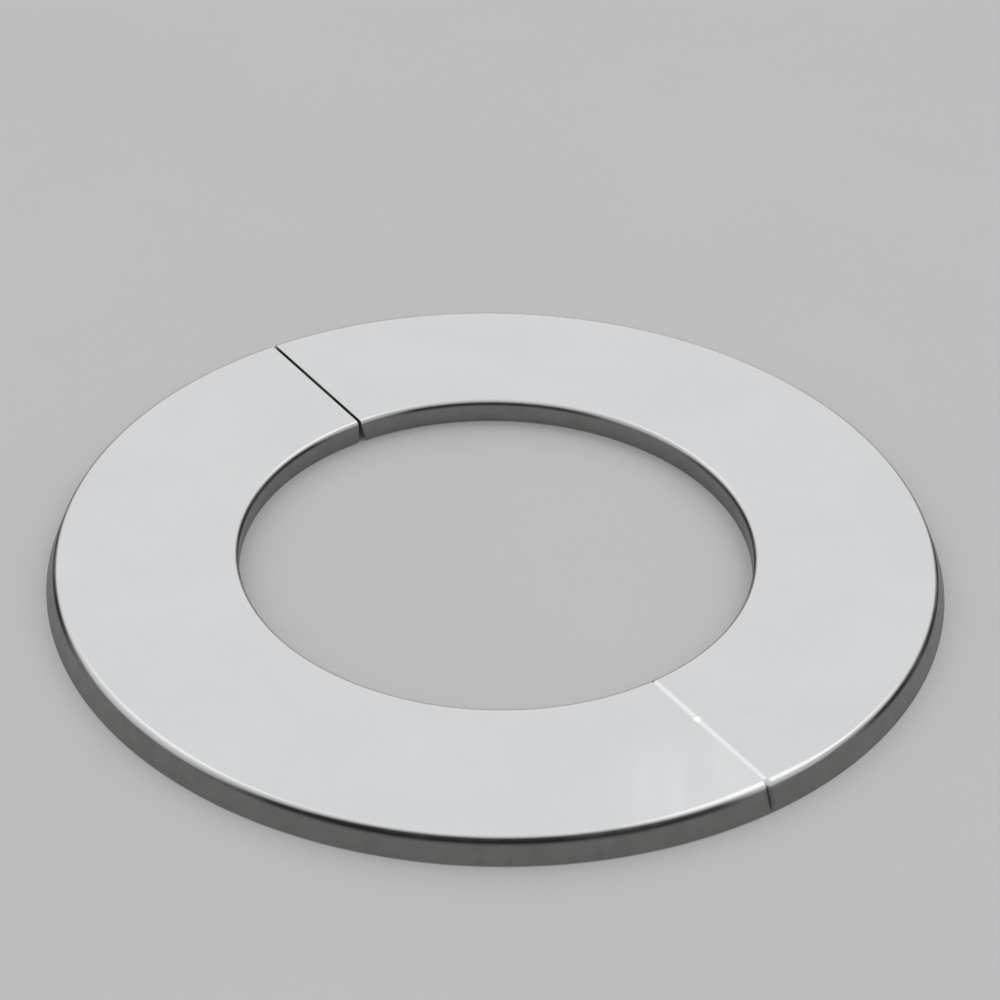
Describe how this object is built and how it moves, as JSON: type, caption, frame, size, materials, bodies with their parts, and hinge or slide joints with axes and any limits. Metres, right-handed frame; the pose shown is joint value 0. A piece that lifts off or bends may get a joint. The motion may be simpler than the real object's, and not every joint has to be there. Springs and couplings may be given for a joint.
{
  "type": "split pipe cover plate",
  "caption": "Split pipe cover plate: flat pressed-steel half rings with turned-down skirts that plug together round a pipe and hide the hole where it meets a wall or floor.",
  "frame": {"origin": "on the pipe's axis, in the plane of the wall or floor that the skirts stand on", "axes": "+Z along the pipe, away from the wall; the seams lie along X, the open one at -X; the halves come apart along Y"},
  "size_m": [0.195, 0.195, 0.0057],
  "materials": {
    "plate_steel": "polished stainless sheet",
    "strip_steel": "plain rolled stainless strip"
  },
  "bodies": {
    "left": {"left_half": "plate_steel", "left_tongue": "strip_steel", "left_keeper": "strip_steel"},
    "right": {"right_half": "plate_steel", "right_tongue": "strip_steel", "right_keeper": "strip_steel"}
  },
  "joints": [
    {"name": "pull_apart", "type": "slide", "parent": "left", "child": "right", "axis": [0, 1, 0], "range_m": [0, 0.04]}
  ]
}
